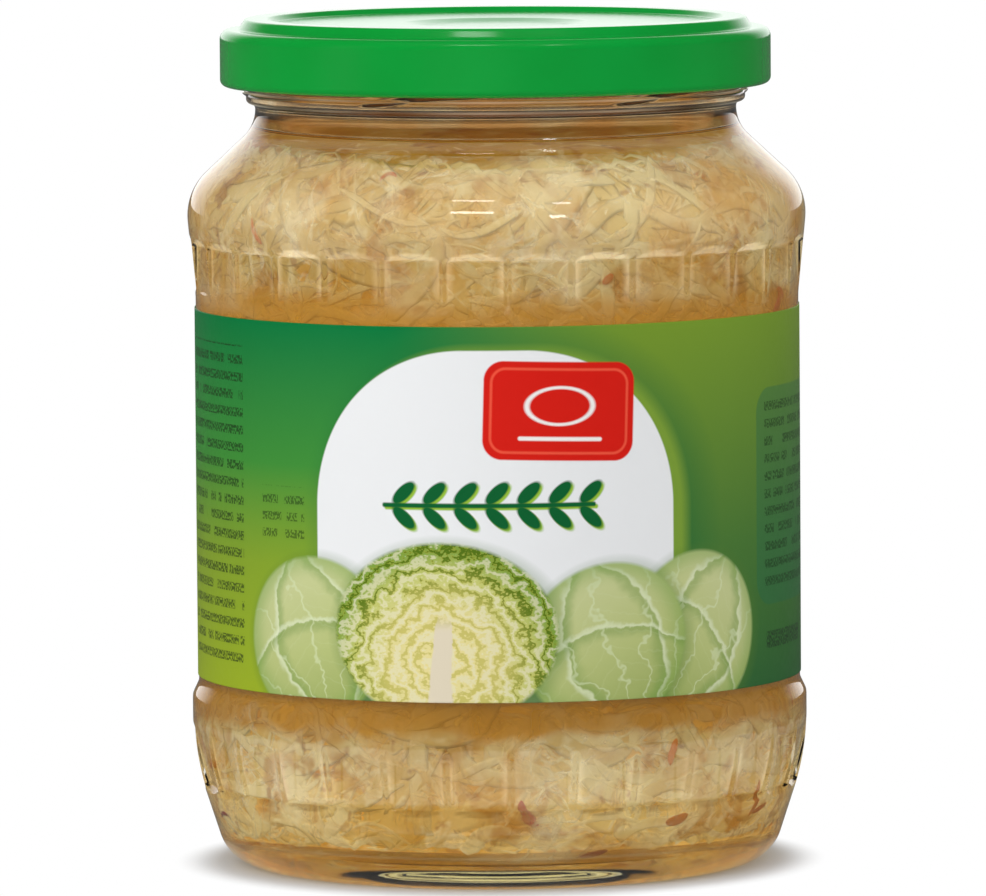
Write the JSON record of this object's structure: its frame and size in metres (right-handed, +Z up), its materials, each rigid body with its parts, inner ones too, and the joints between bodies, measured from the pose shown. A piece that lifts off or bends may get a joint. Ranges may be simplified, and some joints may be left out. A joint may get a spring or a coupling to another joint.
{
  "type": "jar of sauerkraut",
  "caption": "Closed glass preserving jar of shredded sauerkraut in brine, with a twist-off metal cap, a wrap-around paper label and rings of moulded flats.",
  "frame": {"origin": "middle of the base, on the plane that the jar stands on", "axes": "+Z up along the jar's axis, -Y towards the front of the label, +X to the right seen from the front"},
  "size_m": [0.0958, 0.0958, 0.1314],
  "materials": {
    "glass": "clear, glossy flint glass",
    "sauerkraut": "wet shredded cabbage, pale straw, translucent",
    "brine": "clear amber liquid",
    "label_paper": "coated paper, smooth satin, printed in greens",
    "cap_lacquer": "gloss green lacquer on tinplate",
    "seal_compound": "soft matt sealing compound"
  },
  "bodies": {
    "root": {"jar": "glass", "sauerkraut": "sauerkraut", "brine": "brine", "label": "label_paper", "lid": "cap_lacquer", "lid_seal": "seal_compound"}
  },
  "joints": []
}
